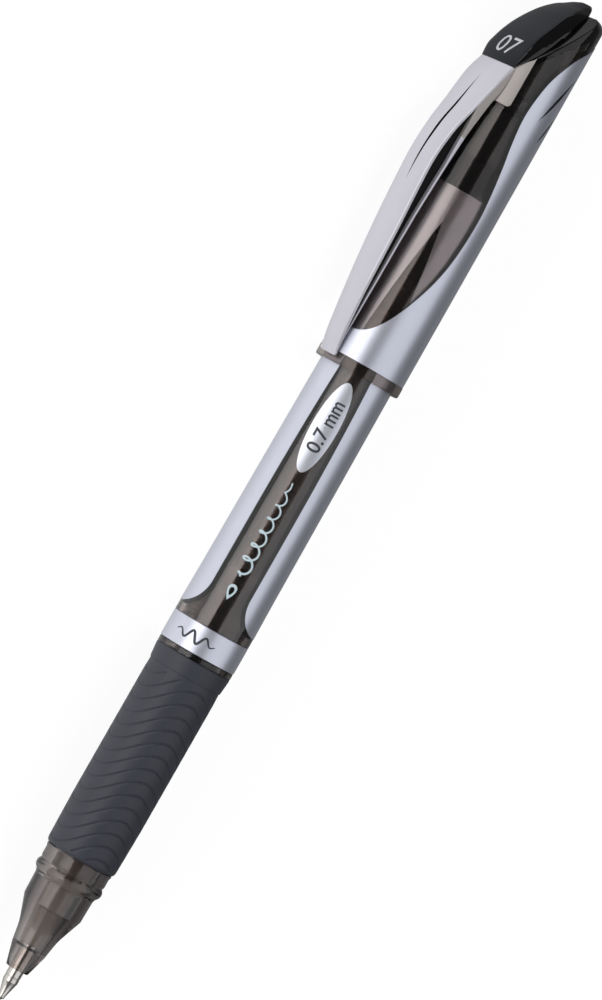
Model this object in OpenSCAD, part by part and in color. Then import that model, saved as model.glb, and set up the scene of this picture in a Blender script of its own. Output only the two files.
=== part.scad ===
// Capped gel pen with its cap posted on the rear of the barrel, lying on a table.
// Every part is drawn upright: the writing point at the origin, the cap's closed end
// up, the clip towards +X. lay_down() then turns it on its side, so that the writing
// point is towards +X, the clip towards -Y and +Z is up, with the origin on the table
// under the middle of the pen.

/* [Refill] */
// Diameter of the writing ball
ball_d = 0.7; // [0.5:0.1:0.8]
// Diameter of the metal point behind its cone
point_d = 2.15; // [2.05:0.05:2.25]
// Length of the cone on the metal point
point_cone = 2.9; // [2.5:0.1:3.2]
// Outer diameter of the ink tube
ink_tube_d = 6; // [5.8:0.1:6.2]
// Wall of the ink tube
ink_tube_wall = 0.7; // [0.5:0.1:0.9]
// Length of the whole refill from the ball to its tail
refill_len = 111; // [108:0.5:113]

/* [Front section] */
// Length of metal point that shows in front of the nose
point_out = 4.6; // [4.4:0.1:4.8]
// Diameter of the rubber grip where the fingers hold it
grip_d = 10.6; // [10.5:0.1:10.8]
// Length of the rubber grip
grip_len = 30.6; // [30:0.1:31]
// Length of the threaded spigot that screws into the barrel
spigot_len = 13.2; // [12:0.1:14]

/* [Barrel] */
// Diameter at the front of the barrel, over the silver band
barrel_front_d = 11.2; // [11.1:0.1:11.3]
// Diameter at the rear of the barrel
barrel_rear_d = 10.3; // [10.2:0.1:10.4]
// Length of the barrel from the screw joint to the end plug
barrel_len = 71.2; // [70:0.1:72]
// Length of the silver band
band_len = 4; // [3:0.5:5]
// Length of the end plug that shows behind the barrel
plug_len = 12.4; // [12:0.1:12.6]

/* [Cap] */
// Diameter of the clear rim at the cap's mouth
cap_rim_d = 12.6; // [12.5:0.1:12.8]
// Length of the cap from its rim to its closed end
cap_len = 57.1; // [57:0.1:58]
// Length of barrel and end plug inside the posted cap
cap_overlap = 40.7; // [40:0.1:40.7]

/* [Clip] */
// Distance from the pen's axis to the highest line of the clip
clip_reach = 9.7; // [9.5:0.1:10]
// Gap between the clip's foot and the cap
clip_gap = 0.08; // [0.05:0.01:0.15]

/* [Hidden] */
$fn = 96;

// Small fits
run_gap = 0.05;            // between the screw joint's round faces
face_gap = 0.05;           // between faces that only come close
film_t = 0.04;             // thickness of the silver film
eps = 0.01;

// Stations along the pen, measured from the writing point
nose_z = point_out;
grip_z = nose_z + 17.1;
collar_z = grip_z + grip_len;
joint_z = collar_z + 0.8;
band_end_z = joint_z + band_len;
spigot_end_z = joint_z + spigot_len;
barrel_end_z = joint_z + barrel_len;
plug_end_z = barrel_end_z + plug_len;
cap_z = plug_end_z - cap_overlap;
cap_end_z = cap_z + cap_len;
head_over = 1.5;           // how far the clip's head passes the cap's end
pen_len = cap_end_z + head_over;

// Refill
ball_r = ball_d / 2;
socket_r = ball_r + 0.03;
point_r = point_d / 2;
point_end_z = 12.5;
point_bore_r = 0.62;
holder_z = 8.4;
holder_r = 1.58;
shoulder_z = 17.4;
shoulder_t = 1.2;
tube_z = shoulder_z + shoulder_t;
tube_r = ink_tube_d / 2;
tube_in_r = tube_r - ink_tube_wall;
holder_end_z = 24;
ink_end_z = 99;
follower_end_z = 104;
tail_t = 1.6;
tube_end_z = refill_len - tail_t;

// Front section
core_r = 4.4;
front_bore_r = tube_r + 0.15;
grip_r = grip_d / 2;
collar_r = barrel_front_d / 2 - 0.05;
spigot_r = 4.65;

// Barrel
band_r = barrel_front_d / 2;
band_seat_r = band_r - 0.3;
rear_r = barrel_rear_d / 2;
thread_bore_r = spigot_r + run_gap;
barrel_bore_r = 4.45;
plug_bore_r = 4.1;
plug_spigot = 6;
plug_r = 4.82;
window_turn = 48;          // from the clip round to the barrel's front window
window_half = 2.85;        // half-width of that window
window_front_z = joint_z + 5.2;
window_full_z = joint_z + 9.8;
window_end_z = joint_z + 66.2;
label_z = joint_z + 34.7;
label_len = 13.5;
label_w = 3.64;

// Cap
rim_r = cap_rim_d / 2;
rim_len = 1.55;
cap_front_r = rim_r - 0.12;
cap_rear_r = rim_r - 0.32;
cap_mouth_r = 5.45;
cap_deep_r = 5.27;
click_z = 33.2;            // from the rim: lands on the nose's bead when capped
click_r = 4.92;
seat_r = 5;
slope_z = 45;              // from the rim: where the sloping end starts on the clip side
slope_h = 6.2;
slope_fall = 2 / 3;        // drop towards the axis for each millimetre along the cap
slope_wall = 1.2;
slope_angle = atan2(1, slope_fall);
liner_z = 41.2;
end_wall = 1.4;            // wall at the closed end, beyond the hollow

// Clip. Each pair is [distance from the cap's rim, value]
clip_top = [[1, 6.75], [3.6, 7.3], [9, 8.05], [13.5, 8.5], [19.4, 9.05], [29.5, clip_reach],
    [38, 8.4], [42.7, 7.3], [46.5, 6.3]];
clip_under = [[1, 6.4], [3.6, 6.5], [9, 6.8], [18, 7.25], [23, 7.2], [34.5, 6.45], [40, 5.9],
    [46.5, 4.4]];
clip_half = [[1, 1.8], [3.6, 1.87], [9, 2.1], [13.5, 2.35], [19.4, 2.6], [30, 2.75], [38, 3.2],
    [42.7, 3.65], [46.5, 3.7]];
flex_z = 40;               // from the rim: where the arm bends out of its root
foot_z = 6.5;
foot_r = 0.6;
foot_w = 3;
cheek_turn = 50;           // how far each cheek of the root reaches round the cap
cheek_z = 40.7;
cheek_t = 0.35;
head_z = 45.6;
head_top = [[45.6, 6.45], [48.7, 5.6], [51.4, 4.45], [54.1, 2.75], [56, 1.1], [57.6, -0.9],
    [58.6, -2.6]];
head_half = [[45.6, 3.6], [47.2, 4.35], [50, 4.78], [52.7, 4.5], [55.4, 3.65], [57.4, 2.6],
    [58.6, 1.2]];
peg_r = 0.8;
peg_len = slope_wall - 0.1;
peg_places = [48.6, 52.4];

// Where the pen lies
axis_y = (clip_reach - rim_r) / 2;
axis_z = rim_r;

// A smooth curve through points: Catmull-Rom, with steps points for each gap
function knot(p, i) = p[max(0, min(len(p) - 1, i))];
function spline_at(p, i, t) =
    let (a = knot(p, i - 1), b = knot(p, i), c = knot(p, i + 1), d = knot(p, i + 2))
    0.5 * (2 * b + (c - a) * t + (2 * a - 5 * b + 4 * c - d) * t * t
        + (3 * b - 3 * c + d - a) * t * t * t);
function smooth(p, steps = 4) = concat(
    [for (i = [0 : len(p) - 2]) for (s = [0 : steps - 1]) spline_at(p, i, s / steps)],
    [p[len(p) - 1]]);
function backwards(p) = [for (i = [len(p) - 1 : -1 : 0]) p[i]];
function raised(p, up) = [for (q = p) [q[0], q[1] + up]];
function mirrored(p) = [for (q = p) [q[0], -q[1]]];
// Moves points given from the cap's rim to their place along the pen
function on_cap(p) = [for (q = p) [q[0] + cap_z, q[1]]];
// An arc of a circle from one angle to another
function arc(cx, cy, r, from, to, steps) =
    [for (i = [0 : steps]) let (a = from + (to - from) * i / steps) [cx + r * cos(a), cy + r * sin(a)]];

module lay_down() {
    translate([pen_len / 2, axis_y, axis_z]) rotate([90, 0, 0]) rotate([0, -90, 0]) children();
}

// A turned part from [radius, station] points
module turned(points) {
    rotate_extrude() polygon(points);
}

module disc(z, length, r) {
    translate([0, 0, z]) cylinder(h = length, r = r);
}

// A side view, [station, height towards the clip], extruded across the pen
module side_prism(points, width) {
    rotate([0, -90, -90]) translate([0, 0, -width / 2]) linear_extrude(width) polygon(points);
}

// A view from the clip's side, [station, half-width], extruded along the clip's direction
module plan_prism(points, depth) {
    rotate([0, -90, 0]) translate([0, 0, -depth]) linear_extrude(2 * depth) polygon(points);
}

// ---- Refill ----

module ball() {
    color("silver") lay_down() translate([0, 0, ball_r]) sphere(r = ball_r, $fn = 48);
}

module metal_point() {
    lip_z = 0.24;
    channel_end_z = 1.7;
    color("lightgray") lay_down() difference() {
        turned([[0, lip_z], [ball_r + 0.07, lip_z], [point_r, point_cone],
            [point_r, point_end_z], [0, point_end_z]]);
        translate([0, 0, ball_r]) sphere(r = socket_r, $fn = 48);
        disc(ball_r, channel_end_z - ball_r, 0.25);
        disc(channel_end_z, point_end_z, point_bore_r);
    }
}

// Fine wire spring whose straight end keeps the ball against its lip: the wire runs up
// the axis, winds out to the coil's radius over its first half turn and then climbs
module point_spring() {
    wire_r = 0.07;
    coil_r = 0.42;
    turns = 8;
    rings_a_turn = 12;
    sides = 6;
    straight_z = ball_d + 0.08;
    coil_z = 2.2;
    coil_end_z = 9.6;
    count = turns * rings_a_turn;
    opening = rings_a_turn / 2;
    // Each station of the wire: [turn angle, distance from the axis, height, tilt of its ring]
    wire = concat([[0, 0, straight_z, 0], [0, 0, coil_z - 0.3, 0]],
        [for (i = [0 : count]) let (out = min(1, i / opening))
            [360 * i / rings_a_turn, coil_r * out, coil_z + (coil_end_z - coil_z) * i / count, 90 * out]]);
    rings = [for (w = wire) for (k = [0 : sides - 1])
        let (b = 360 * k / sides, r = w[1] + wire_r * cos(b), side = wire_r * sin(b) * cos(w[3]))
            [r * cos(w[0]) - side * sin(w[0]), r * sin(w[0]) + side * cos(w[0]),
                w[2] - wire_r * sin(b) * sin(w[3])]];
    last = (len(wire) - 1) * sides;
    walls = [for (p = [0 : sides : last - 1]) for (k = [0 : sides - 1]) let (n = (k + 1) % sides)
        each [[p + k, p + n, p + sides + n], [p + k, p + sides + n, p + sides + k]]];
    color("gray") lay_down() polyhedron(points = rings, faces = concat(
        [[for (k = [sides - 1 : -1 : 0]) k], [for (k = [0 : sides - 1]) last + k]],
        walls));
}

module point_holder() {
    color("gainsboro") lay_down() difference() {
        turned([[0, holder_z], [holder_r - 0.2, holder_z], [holder_r, holder_z + 0.2],
            [holder_r, shoulder_z], [tube_r, shoulder_z], [tube_r, tube_z],
            [tube_in_r, tube_z], [tube_in_r, holder_end_z], [0, holder_end_z]]);
        disc(holder_z - eps, point_end_z - holder_z + eps, point_r);
        disc(point_end_z - eps, holder_end_z, 0.7);
    }
}

module ink_tube() {
    color("whitesmoke", 0.6) lay_down() difference() {
        disc(tube_z, tube_end_z - tube_z, tube_r);
        disc(tube_z - eps, tube_end_z, tube_in_r);
    }
}

module gel_ink() {
    color("black") lay_down() disc(holder_end_z, ink_end_z - holder_end_z, tube_in_r);
}

module ink_follower() {
    color("khaki") lay_down() disc(ink_end_z, follower_end_z - ink_end_z, tube_in_r);
}

module refill_tail() {
    inside = 3.6;
    vent_r = 0.5;
    color("dimgray") lay_down() difference() {
        turned([[0, tube_end_z - inside], [tube_in_r, tube_end_z - inside], [tube_in_r, tube_end_z],
            [tube_r, tube_end_z], [tube_r, refill_len - 0.3], [tube_r - 0.3, refill_len],
            [0, refill_len]]);
        disc(tube_end_z - inside - eps, inside + tail_t + 2 * eps, vent_r);
    }
}

// ---- Front section ----

// Nose cone, core under the grip, collar and threaded spigot, moulded as one
module nose_section() {
    cone = [[2.5, nose_z + 3.1], [2.71, nose_z + 4.4], [2.97, nose_z + 5.8], [3.4, nose_z + 7.1],
        [3.83, nose_z + 8.3], [4.3, nose_z + 9.6]];
    bead = arc(3.96, nose_z + 14.08, 1, -52, 48, 10);
    guide_r = point_r + 0.15;
    color("dimgray", 0.6) lay_down() difference() {
        turned(concat([[0, nose_z], [1.6, nose_z], [1.66, nose_z + 0.06]], smooth(cone, 3),
            [[4.38, nose_z + 12.8]], bead, [[4.77, nose_z + 15.2], [4.77, nose_z + 16.4],
            [4.89, nose_z + 16.75], [4.89, nose_z + 17], [core_r, nose_z + 17],
            [core_r, collar_z], [collar_r, collar_z], [collar_r, joint_z], [spigot_r, joint_z],
            [spigot_r, spigot_end_z - 0.4], [spigot_r - 0.3, spigot_end_z], [0, spigot_end_z]]));
        turned([[0, nose_z - eps], [guide_r, nose_z - eps], [guide_r, holder_z - 0.6],
            [holder_r + 0.15, holder_z - 0.2], [2.25, nose_z + 9.5], [2.35, shoulder_z - face_gap],
            [front_bore_r, shoulder_z - face_gap], [front_bore_r, spigot_end_z + eps],
            [0, spigot_end_z + eps]]);
    }
}

module rubber_grip() {
    flare = arc(grip_r - 0.75, collar_z, 1, -66, 0, 6);
    color("dimgray") lay_down() difference() {
        turned(concat([[0, grip_z], [grip_r - 0.35, grip_z], [grip_r - 0.15, grip_z + 0.3],
            [grip_r - 0.1, grip_z + 2], [grip_r, grip_z + 7], [grip_r, grip_z + 26.4],
            [grip_r - 0.1, grip_z + 28]], smooth([[grip_r - 0.1, grip_z + 28],
            [grip_r + 0.14, grip_z + 29.1], [grip_r + 0.23, grip_z + 30], [grip_r + 0.25, collar_z]], 3),
            [[0, collar_z]]));
        disc(grip_z - eps, grip_len + 2 * eps, core_r);
    }
}

// ---- Barrel ----

// Outline of the barrel behind the band, raised by the thickness of what lies on it
function barrel_side(up) = [[band_r + up, band_end_z], [band_r - 0.1 + up, joint_z + 11],
    [(band_r + rear_r) / 2 - 0.08 + up, joint_z + 42], [rear_r + up, barrel_end_z]];

module barrel_tube() {
    color("dimgray", 0.6) lay_down() difference() {
        turned(concat([[0, joint_z + face_gap], [band_seat_r, joint_z + face_gap],
            [band_seat_r, band_end_z]], barrel_side(0), [[0, barrel_end_z]]));
        turned([[0, joint_z], [thread_bore_r, joint_z], [thread_bore_r, spigot_end_z + 0.3],
            [barrel_bore_r, spigot_end_z + 1], [plug_bore_r, barrel_end_z - plug_spigot],
            [plug_bore_r, barrel_end_z + eps], [0, barrel_end_z + eps]]);
    }
}

module silver_band() {
    color("silver") lay_down() difference() {
        disc(joint_z + face_gap, band_len - face_gap, band_r);
        disc(joint_z, band_len + 1, band_seat_r);
    }
}

// Thin skin over the barrel from the band to the rear edge
module barrel_skin() {
    turned(concat(barrel_side(0), backwards(barrel_side(film_t))));
}

// Half of the window's outline: round shoulders in front, a long point behind
function window_edge() = concat(
    [for (i = [0 : 8]) let (a = 90 * i / 8)
        [window_full_z - (window_full_z - window_front_z) * cos(a),
            band_r + 1 - (band_r + 1 - window_half) * sin(a)]],
    [for (i = [1 : 16]) let (u = i / 16)
        [window_full_z + (window_end_z - window_full_z) * u, window_half * (1 - pow(u, 3.4))]]);

module barrel_film() {
    edge = window_edge();
    color("lightsteelblue") lay_down() difference() {
        barrel_skin();
        disc(band_end_z - 1, window_front_z - band_end_z + 1, 2 * band_r);
        rotate([0, 0, window_turn]) rotate([0, -90, 0]) translate([0, 0, -2 * band_r])
            linear_extrude(4 * band_r) polygon(concat(edge, mirrored(backwards(edge))));
    }
}

module size_label() {
    outline = [for (i = [0 : 47]) [label_z + label_len / 2 * cos(7.5 * i), label_w / 2 * sin(7.5 * i)]];
    color("aliceblue") lay_down() intersection() {
        barrel_skin();
        rotate([0, 0, window_turn]) rotate([0, -90, 0]) translate([0, 0, -2 * band_r])
            linear_extrude(2 * band_r) polygon(outline);
    }
}

module end_plug() {
    color("black") lay_down() difference() {
        turned(concat([[0, barrel_end_z - plug_spigot], [plug_bore_r, barrel_end_z - plug_spigot],
            [plug_bore_r, barrel_end_z], [plug_r, barrel_end_z]],
            arc(plug_r - 1.1, plug_end_z - 1, 1, 0, 90, 8), [[0, plug_end_z]]));
        disc(barrel_end_z - plug_spigot - eps, plug_spigot + plug_len - 1.5, 3.2);
    }
}

// ---- Cap ----

function cap_side(up) = [[cap_front_r + up, cap_z + rim_len], [cap_front_r - 0.06 + up, cap_z + 22],
    [cap_front_r - 0.13 + up, cap_z + 39], [cap_rear_r + up, cap_z + 53]];

// Everything on the barrel's side of the sloping end, lowered by drop
module below_slope(drop) {
    top = 2 * slope_h;
    start = slope_z - (top - slope_h) / slope_fall;
    finish = slope_z + (top + slope_h) / slope_fall;
    side_prism([[cap_z - 1, -top], [cap_z - 1, top - drop], [cap_z + start, top - drop],
        [cap_z + finish, -top - drop], [cap_z + finish, -2 * top - drop], [cap_z - 1, -2 * top - drop]],
        4 * rim_r);
}

module cap_form() {
    corner = 1.5;
    turned(concat([[0, cap_z], [rim_r - 0.3, cap_z], [rim_r, cap_z + 0.3], [rim_r, cap_z + rim_len - 0.25],
        [rim_r - 0.12, cap_z + rim_len]], cap_side(0),
        arc(cap_rear_r - corner, cap_end_z - corner, corner, 0, 90, 8), [[0, cap_end_z]]));
}

module cap_hollow() {
    turned([[0, cap_z - eps], [cap_mouth_r, cap_z - eps], [cap_deep_r, cap_z + click_z - 1],
        [click_r + 0.1, cap_z + click_z - 0.5], [click_r, cap_z + click_z - 0.15],
        [click_r, cap_z + click_z + 0.15], [seat_r + 0.1, cap_z + click_z + 0.7],
        [seat_r + 0.1, cap_z + liner_z], [seat_r, cap_z + liner_z],
        [seat_r, cap_end_z - end_wall - 0.8], [seat_r - 0.8, cap_end_z - end_wall],
        [0, cap_end_z - end_wall]]);
}

// Places its children on the sloping end, at a distance from the rim, facing out
module on_slope(z) {
    translate([slope_h - slope_fall * (z - slope_z), 0, cap_z + z]) rotate([0, slope_angle, 0]) children();
}

module pegs() {
    for (z = peg_places) on_slope(z) translate([0, 0, -peg_len]) cylinder(h = peg_len, r = peg_r);
}

module cap_tube() {
    wall_drop = slope_wall / cos(90 - slope_angle);
    color("dimgray", 0.6) lay_down() difference() {
        intersection() {
            cap_form();
            below_slope(0);
        }
        intersection() {
            cap_hollow();
            below_slope(wall_drop);
        }
        pegs();
    }
}

// Edge of the silver film seen from the side, from the rim to the closed end
film_edge = [[4.9, 6.6], [5.6, 5.4], [7.8, 4.1], [11.4, 2.65], [15.8, 1.17], [20, 0.3], [25.4, -0.05],
    [29.4, 0.27], [33.6, 0.86], [36.6, 1.38], [41, 1.75], [46, 1.1], [49.4, -0.3], [51.6, -1.9],
    [53.9, -4.8], [54.6, -6.8]];

// A slit in the film: two arcs that meet in points
function slit(a, b, bulge) = let (d = b - a, n = [-d[1], d[0]] / norm(d)) concat(
    [for (i = [0 : 8]) a + d * i / 8 + n * bulge * sin(22.5 * i)],
    [for (i = [7 : -1 : 1]) a + d * i / 8 - n * bulge * sin(22.5 * i)]);

module cap_film() {
    edge = smooth(film_edge, 3);
    color("lightsteelblue") lay_down() difference() {
        turned(concat(cap_side(0), [[cap_rear_r, cap_z + 55]], [[cap_rear_r + film_t, cap_z + 55]],
            backwards(cap_side(film_t))));
        side_prism(on_cap(concat(edge, [[60, -6.8], [60, 8], [4.9, 8]])), 4 * rim_r);
        side_prism(on_cap(slit([41.2, -0.4], [49, -3.6], 0.28)), 4 * rim_r);
        side_prism(on_cap(slit([38.6, -2.4], [43, -4], 0.22)), 4 * rim_r);
    }
}

// Soft liner whose lip closes round the nose when the pen is capped
module inner_cap() {
    wall_drop = slope_wall / cos(90 - slope_angle);
    wall = 0.8;
    gap = 0.02;
    lip_r = 3;
    chamber_r = 3.3;
    end_r = 2.2;
    mouth = cap_z + liner_z;
    narrow = mouth + 5;
    far_end = cap_end_z - end_wall - face_gap;
    color("dimgray") lay_down() intersection() {
        difference() {
            turned([[0, mouth], [seat_r - gap, mouth], [seat_r - gap, mouth + 1.4], [chamber_r + wall, mouth + 1.8],
                [chamber_r + wall, narrow], [end_r + wall, mouth + 9], [end_r + wall, far_end],
                [0, far_end]]);
            turned([[0, mouth - eps], [lip_r + 0.3, mouth - eps], [lip_r, mouth + 0.4],
                [chamber_r, mouth + 0.9], [chamber_r, narrow], [end_r, mouth + 9],
                [end_r, far_end + eps], [0, far_end + eps]]);
        }
        below_slope(wall_drop + face_gap);
    }
}

// ---- Clip ----

module clip_blade(from, to) {
    intersection() {
        side_prism(on_cap(concat(smooth(clip_top), backwards(smooth(clip_under)))), 4 * rim_r);
        plan_prism(on_cap(concat(smooth(clip_half), mirrored(backwards(smooth(clip_half))))), 2 * clip_reach);
        translate([0, 0, cap_z + from]) cylinder(h = to - from, r = 2 * clip_reach);
    }
}

module clip_arm() {
    color("silver") lay_down() difference() {
        union() {
            clip_blade(0, flex_z - face_gap);
            translate([rim_r + clip_gap + foot_r, foot_w / 2, cap_z + foot_z]) rotate([90, 0, 0])
                cylinder(h = foot_w, r = foot_r, $fn = 32);
        }
        disc(cap_z - 1, cap_len, rim_r + clip_gap);
    }
}

module head_form() {
    slope_end = [58.6, slope_h - slope_fall * (58.6 - slope_z)];
    slope_start = [head_z, slope_h - slope_fall * (head_z - slope_z)];
    intersection() {
        side_prism(on_cap(concat(smooth(head_top), [slope_end, slope_start])), 4 * rim_r);
        plan_prism(on_cap(concat(smooth(head_half), mirrored(backwards(smooth(head_half))))), 2 * clip_reach);
    }
}

// The part of the clip that the head holds: the end of the blade and a cheek on each side
module clip_root() {
    cheek_r = rim_r + cheek_t;
    color("silver") lay_down() difference() {
        union() {
            clip_blade(flex_z, head_z);
            intersection() {
                disc(cap_z + cheek_z, slope_z - cheek_z + 4, cheek_r);
                translate([0, 0, cap_z]) linear_extrude(cap_len) polygon([[0, 0],
                    [2 * cheek_r * cos(cheek_turn), -2 * cheek_r * sin(cheek_turn)],
                    [4 * cheek_r, -4 * cheek_r], [4 * cheek_r, 4 * cheek_r],
                    [2 * cheek_r * cos(cheek_turn), 2 * cheek_r * sin(cheek_turn)]]);
                below_slope(0);
            }
        }
        cap_form();
        head_form();
    }
}

module clip_head() {
    color([0.12, 0.13, 0.15]) lay_down() union() {
        head_form();
        pegs();
    }
}

ball();
metal_point();
point_spring();
point_holder();
ink_tube();
gel_ink();
ink_follower();
refill_tail();
nose_section();
rubber_grip();
barrel_tube();
silver_band();
barrel_film();
size_label();
end_plug();
cap_tube();
cap_film();
inner_cap();
clip_root();
clip_arm();
clip_head();
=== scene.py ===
"""Looks of a capped gel pen that lies with its cap posted on the rear of the barrel.

Sizes are in millimetres and turned to metres by place(). A point is given by its station, counted
from the writing point towards the cap, its height towards the clip and its side across the clip,
or by a turn in degrees round the pen, counted from the clip.
"""
import math

import bmesh
import bpy
from mathutils import Matrix, Vector


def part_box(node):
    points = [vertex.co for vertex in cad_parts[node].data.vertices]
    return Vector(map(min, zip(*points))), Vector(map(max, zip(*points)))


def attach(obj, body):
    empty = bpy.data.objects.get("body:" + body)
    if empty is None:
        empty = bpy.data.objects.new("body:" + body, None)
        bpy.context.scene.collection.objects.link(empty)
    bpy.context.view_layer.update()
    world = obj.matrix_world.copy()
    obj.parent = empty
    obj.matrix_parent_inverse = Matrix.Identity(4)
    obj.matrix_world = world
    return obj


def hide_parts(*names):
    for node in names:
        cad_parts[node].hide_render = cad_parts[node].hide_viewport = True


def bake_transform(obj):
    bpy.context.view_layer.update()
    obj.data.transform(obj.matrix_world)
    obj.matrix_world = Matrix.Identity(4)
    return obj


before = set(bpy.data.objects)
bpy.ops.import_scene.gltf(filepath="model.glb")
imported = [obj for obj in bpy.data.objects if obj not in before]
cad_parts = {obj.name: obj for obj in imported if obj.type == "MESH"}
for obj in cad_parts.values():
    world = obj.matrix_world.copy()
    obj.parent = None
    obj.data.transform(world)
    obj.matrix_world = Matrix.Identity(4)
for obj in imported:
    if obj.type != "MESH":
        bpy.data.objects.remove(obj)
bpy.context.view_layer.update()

MM = 0.001
ball_low, ball_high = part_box("ball")
tip_x = ball_high.x
axis_y = (ball_low.y + ball_high.y) / 2
axis_z = (ball_low.z + ball_high.z) / 2


def place(station, height, side):
    """A point of the row frame, in metres."""
    return Vector((tip_x - station * MM, axis_y - height * MM, axis_z + side * MM))


def around(station, radius, turn):
    """The same for a point at a turn round the pen."""
    angle = math.radians(turn)
    return place(station, radius * math.cos(angle), radius * math.sin(angle))


# ---- Camera, floor and light ----

view_turn = math.radians(50)     # how far round from the clip the camera stands
picture_lean = math.radians(29.76)
picture_height = 133.75
picture_middle_z = 77.93         # the station at the picture's middle
picture_middle_h = -1.85         # and how far it is off the axis, in the picture's plane
lens = 180
sensor = 36
floor_glow = 0.93                # the floor as the camera sees it
floor_bounce = 0.95              # how bright the floor is to matt surfaces
floor_mirror = 0.9               # and to polished ones
floor_in_shadow = 0.2               # how much of that is left in the painted shadow behind the pen
floor_in_far_shade = 0.75             # and how much in the painted shade far out on the clip's side
shadow_from, shadow_to = -0.011, 0.008       # where the painted shadow darkens the floor across the pen, in metres
far_shade_from, far_shade_to = -0.04, -0.014
floor_reach = 6
floor_drop = 0.0002              # below the row frame's table, so that the two don't touch


def add_camera():
    """Looks square at the pen from above the clip's near side, with the cap leaning to the right."""
    toward_camera = Vector((0, -math.cos(view_turn), math.sin(view_turn)))
    toward_cap = Vector((-1, 0, 0))
    toward_clip = Vector((0, -math.sin(view_turn), -math.cos(view_turn)))
    right = toward_cap * math.sin(picture_lean) - toward_clip * math.cos(picture_lean)
    up = toward_cap * math.cos(picture_lean) + toward_clip * math.sin(picture_lean)
    aim = place(picture_middle_z, 0, 0) + toward_clip * picture_middle_h * MM
    data = bpy.data.cameras.new("camera")
    data.lens = lens
    data.sensor_width = sensor
    data.clip_start = 0.01
    camera = bpy.data.objects.new("camera", data)
    bpy.context.scene.collection.objects.link(camera)
    spot = aim + toward_camera * (lens / sensor * picture_height * MM)
    turn = Matrix((right, up, toward_camera)).transposed()
    camera.matrix_world = Matrix.Translation(spot) @ turn.to_4x4()
    bpy.context.scene.camera = camera


def add_softbox(name, elevation, distance, size, radiance, tint):
    """A rectangular softbox: elevation counts over the top, from the clip's side of the pen."""
    angle = math.radians(elevation)
    away = Vector((0, -math.cos(angle), math.sin(angle)))
    data = bpy.data.lights.new(name, "AREA")
    data.shape = "RECTANGLE"
    data.size, data.size_y = size
    data.energy = radiance * math.pi * size[0] * size[1]
    data.color = tint
    light = bpy.data.objects.new(name, data)
    light.visible_camera = False
    bpy.context.scene.collection.objects.link(light)
    along = Vector((1, 0, 0))
    turn = Matrix((along, away.cross(along), away)).transposed()
    light.matrix_world = Matrix.Translation(away * distance) @ turn.to_4x4()


# ---- Materials ----

def linear(hex_colour):
    """An sRGB hex colour as a linear RGBA."""
    levels = [int(hex_colour[i:i + 2], 16) / 255 for i in (1, 3, 5)]
    return [c / 12.92 if c <= 0.04045 else ((c + 0.055) / 1.055) ** 2.4 for c in levels] + [1]


def per_metre(size_mm):
    """The texture scale that gives a grain of this size."""
    return 1 / (size_mm * MM)


def add_node(tree, kind, inputs=None, **settings):
    """One node: a setting is a property, and an input is a value or another node's output."""
    made = tree.nodes.new("ShaderNode" + kind)
    for name, value in settings.items():
        setattr(made, name, value)
    for name, value in (inputs or {}).items():
        if isinstance(value, bpy.types.NodeSocket):
            tree.links.new(value, made.inputs[name])
        else:
            made.inputs[name].default_value = value
    return made


def surface(name, colour, roughness, grain_mm, bump_mm, tone=0.06, polish=0.1, depth_tint=None,
        **shader):
    """A surface whose colour, gloss and height vary over grains of a real size.

    tone and polish say how much the colour and the roughness vary. depth_tint is a colour and how
    much of the rest a millimetre of clear plastic takes away. Other shader inputs keep their
    Blender names, with _ for a space.
    """
    material = bpy.data.materials.new(name)
    material.use_nodes = True
    tree = material.node_tree
    tree.nodes.clear()
    place_on = add_node(tree, "TexCoord").outputs["Object"]
    grain = add_node(tree, "TexNoise", {"Vector": place_on, "Scale": per_metre(grain_mm),
        "Detail": 3.0, "Roughness": 0.6}).outputs["Fac"]
    broad = add_node(tree, "TexNoise", {"Vector": place_on, "Scale": per_metre(grain_mm * 30),
        "Detail": 2.0}).outputs["Fac"]
    base = linear(colour)
    darker = [c * (1 - tone) for c in base[:3]] + [1]
    lighter = [min(1, c * (1 + tone)) for c in base[:3]] + [1]
    mixed = add_node(tree, "Mix", data_type="RGBA")
    tree.links.new(broad, mixed.inputs[0])
    mixed.inputs[6].default_value = darker
    mixed.inputs[7].default_value = lighter
    gloss = add_node(tree, "MapRange", {"Value": grain, "To Min": roughness * (1 - polish),
        "To Max": roughness * (1 + polish)})
    relief = add_node(tree, "Bump", {"Height": grain, "Distance": bump_mm * MM, "Strength": 1.0})
    inputs = {"Base Color": mixed.outputs[2], "Roughness": gloss.outputs["Result"],
        "Normal": relief.outputs["Normal"]}
    for key, value in shader.items():
        inputs[key.replace("_", " ")] = value
    shading = add_node(tree, "BsdfPrincipled", inputs)
    result = {"Surface": shading.outputs["BSDF"]}
    if depth_tint:
        tint, strength = depth_tint
        depth = add_node(tree, "VolumeAbsorption", {"Color": linear(tint),
            "Density": per_metre(1 / strength)})
        result["Volume"] = depth.outputs["Volume"]
    add_node(tree, "OutputMaterial", result)
    return material


# Smoke-tinted polycarbonate, injection moulded and polished: clear, and browner where it is thick
smoke_plastic = surface("smoke_polycarbonate", "#e6dfdb", 0.03, 3, 0.0004, 0.02,
    depth_tint=("#b0a299", 0.38), Transmission_Weight=1.0, IOR=1.47)
# The barrel is of the same plastic, lacquered over its print
lacquered_smoke = surface("lacquered_smoke_polycarbonate", "#ece2de", 0.03, 3, 0.0004, 0.02,
    depth_tint=("#b2a09a", 0.3), Transmission_Weight=1.0, IOR=1.55, Coat_Weight=0.5,
    Coat_Roughness=0.05)
# The nose is moulded from the same plastic with more dye
dark_smoke = surface("dark_smoke_polycarbonate", "#e6e0de", 0.03, 3, 0.0004, 0.02,
    depth_tint=("#928785", 0.28), Transmission_Weight=1.0, IOR=1.55)
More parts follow.
